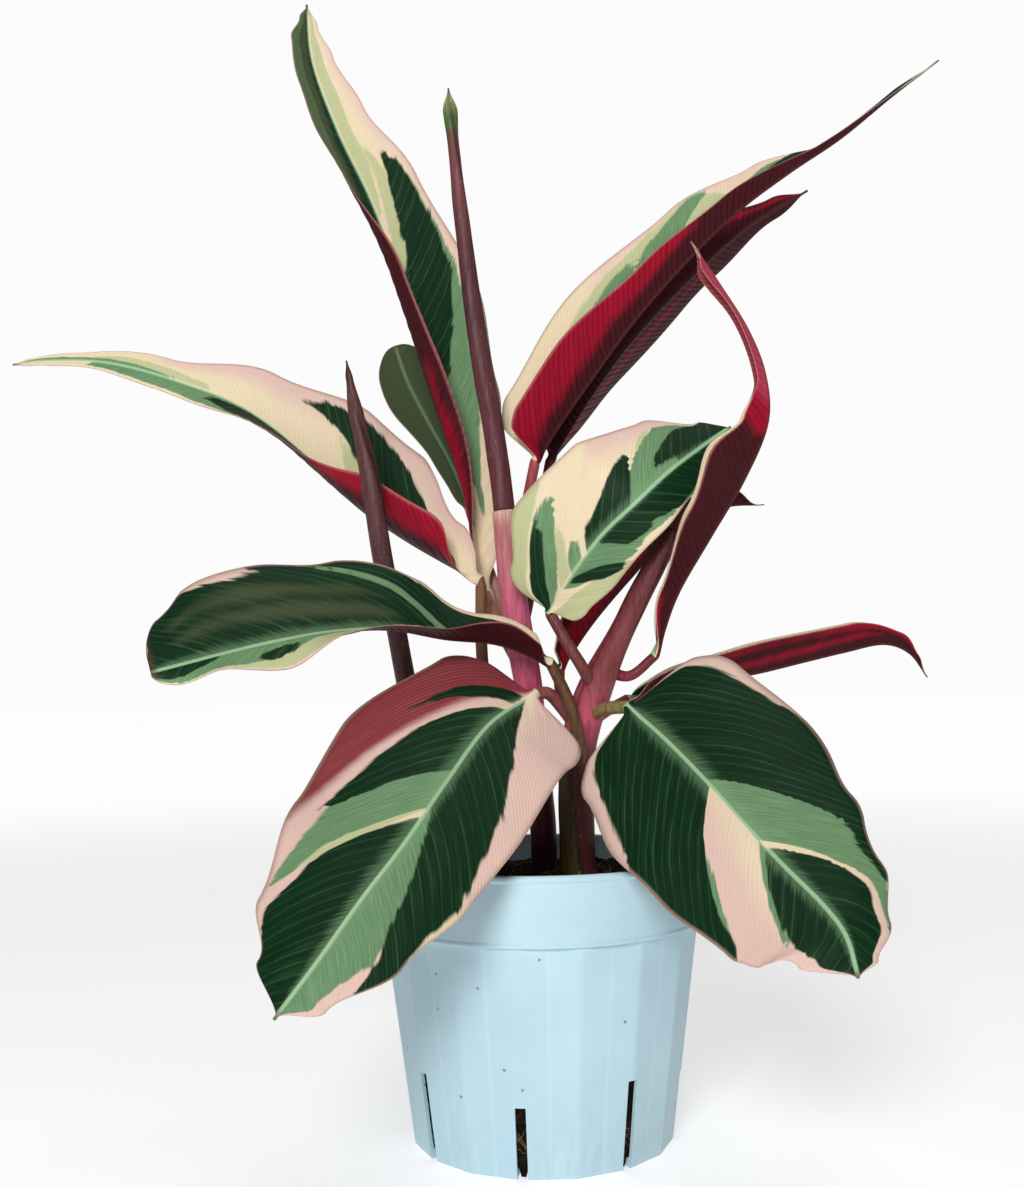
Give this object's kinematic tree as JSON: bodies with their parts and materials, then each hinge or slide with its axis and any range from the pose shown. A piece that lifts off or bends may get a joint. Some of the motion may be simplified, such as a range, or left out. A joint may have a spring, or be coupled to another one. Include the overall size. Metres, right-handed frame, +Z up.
{
  "type": "potted stromanthe plant",
  "caption": "Prayer plant with long green, cream and pink leaves, maroon underneath, and furled new leaves, in a pale blue faceted nursery pot with slots at its foot.",
  "frame": {"origin": "middle of the pot's underside, where it stands", "axes": "+Z up, +X to the right and +Y away from the front of the plant"},
  "size_m": [0.3794, 0.1805, 0.4481],
  "materials": {
    "pot": "satin pale blue moulded plastic",
    "soil": "dark peat with brown fibres",
    "maroon_stem": "dull maroon stem",
    "pink_stem": "dull pink stem",
    "green_leaf": "waxy leaf, dark green with cream and pink, maroon below",
    "cream_leaf": "waxy leaf, cream with green, crimson below",
    "maroon_leaf": "waxy leaf, maroon underside outwards",
    "red_leaf": "waxy leaf, crimson underside outwards"
  },
  "bodies": {
    "root": {"pot": "pot", "soil": "soil", "stem_main": "maroon_stem", "stem_pink": "pink_stem", "spear_tall": "maroon_stem", "spear_left": "maroon_stem", "leaf_tall": "green_leaf", "leaf_tailed": "cream_leaf", "leaf_dark": "maroon_leaf", "leaf_long": "cream_leaf", "leaf_back": "green_leaf", "leaf_left": "green_leaf", "leaf_middle": "cream_leaf", "leaf_furled": "maroon_leaf", "leaf_under": "red_leaf", "leaf_right": "red_leaf", "leaf_front_right": "green_leaf", "leaf_front_left": "green_leaf"}
  },
  "joints": []
}
